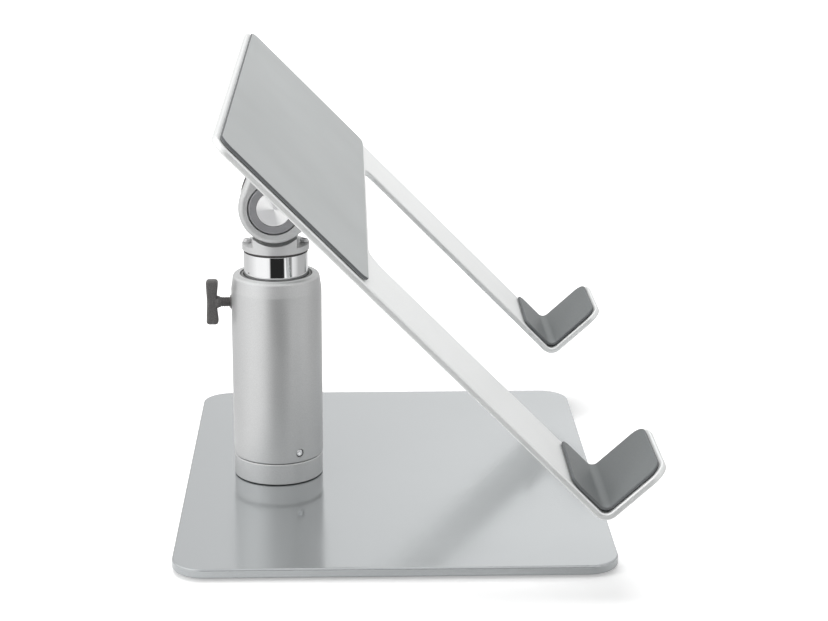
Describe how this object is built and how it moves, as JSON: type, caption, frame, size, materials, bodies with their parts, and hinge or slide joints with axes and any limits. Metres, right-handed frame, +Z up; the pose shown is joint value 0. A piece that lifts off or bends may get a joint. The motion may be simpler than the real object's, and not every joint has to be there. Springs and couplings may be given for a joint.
{
  "type": "laptop stand",
  "caption": "Desk stand for a laptop: flat base plate, swivelling column with a clamped sliding mast, and a tilting tray with two padded hooks.",
  "frame": {"origin": "on the desk surface, on the column's swivel axis, at the middle of the centre pad's underside", "axes": "+Z up; +X to the user's right, along the tray's width and the tilt axis; -Y towards the user, down the tray's slope"},
  "size_m": [0.3, 0.2152, 0.2039],
  "materials": {
    "plate_silver": "satin silver lacquer on a steel plate, slightly glossy",
    "silver_paint": "fine metallic silver paint",
    "tray_silver": "light silver sheet with a fine grain",
    "chrome": "mirror chrome",
    "turned_steel": "bright faced-off steel with circular turning marks",
    "zinc_steel": "zinc-plated steel",
    "dark_steel": "dark, slightly grainy steel",
    "grey_ring": "dark grey satin metal",
    "pad_rubber": "matt mid-grey rubber sheet",
    "hook_rubber": "matt dark grey rubber sheet",
    "foot_rubber": "matt black rubber",
    "white_nylon": "natural nylon",
    "grey_nylon": "grey nylon"
  },
  "bodies": {
    "base": {"base_plate": "plate_silver", "foot_front_left": "foot_rubber", "foot_front_right": "foot_rubber", "foot_rear_left": "foot_rubber", "foot_rear_right": "foot_rubber", "centre_pad": "foot_rubber", "swivel_collar": "silver_paint", "collar_screw_1": "zinc_steel", "collar_screw_2": "zinc_steel", "collar_screw_3": "zinc_steel", "thrust_washer": "white_nylon", "upper_washer": "zinc_steel", "swivel_nut": "zinc_steel", "swivel_bolt": "zinc_steel"},
    "column": {"column_tube": "silver_paint", "column_plug": "zinc_steel", "plug_set_screw": "turned_steel", "guide_bush": "grey_nylon", "clamp_insert": "dark_steel"},
    "clamp_tip": {"clamp_tip": "white_nylon"},
    "thumb_screw": {"thumb_screw": "dark_steel"},
    "mast": {"mast_tube": "chrome", "mast_guide_ring": "white_nylon", "saddle_head": "silver_paint", "head_screw_front": "turned_steel", "head_screw_rear": "turned_steel"},
    "tray": {"tray_plate": "tray_silver", "tilt_bracket": "silver_paint", "tray_pad": "pad_rubber", "hook_pad_left": "hook_rubber", "hook_pad_right": "hook_rubber", "bracket_screw_1": "zinc_steel", "bracket_screw_2": "zinc_steel", "bracket_screw_3": "zinc_steel", "bracket_screw_4": "zinc_steel", "hinge_ring_left": "grey_ring", "hinge_ring_right": "grey_ring", "friction_washer_left": "white_nylon", "friction_washer_right": "white_nylon", "hinge_bolt": "turned_steel", "disc_spring_1": "zinc_steel", "disc_spring_2": "zinc_steel", "hinge_nut": "turned_steel"}
  },
  "joints": [
    {"name": "column_swivel", "type": "hinge", "parent": "base", "child": "column", "pos_m": [0, 0, 0.017], "axis": [0, 0, 1], "continuous": true},
    {"name": "height_slide", "type": "slide", "parent": "column", "child": "mast", "axis": [0, 0, 1], "range_m": [-0.01, 0.045]},
    {"name": "tray_tilt", "type": "hinge", "parent": "mast", "child": "tray", "pos_m": [0, 0, 0.1438], "axis": [1, 0, 0], "range_deg": [-45.4, 6]},
    {"name": "clamp_travel", "type": "slide", "parent": "column", "child": "clamp_tip", "axis": [0, 1, 0], "range_m": [0, 0.0016]},
    {"name": "clamp_turn", "type": "hinge", "parent": "clamp_tip", "child": "thumb_screw", "pos_m": [0, 0.03, 0.0934], "axis": [0, 1, 0], "range_deg": [0, 720]}
  ],
  "couplings": [
    {"joint": "clamp_travel", "follows": "clamp_turn", "m_per_rad": 0.00012732}
  ]
}
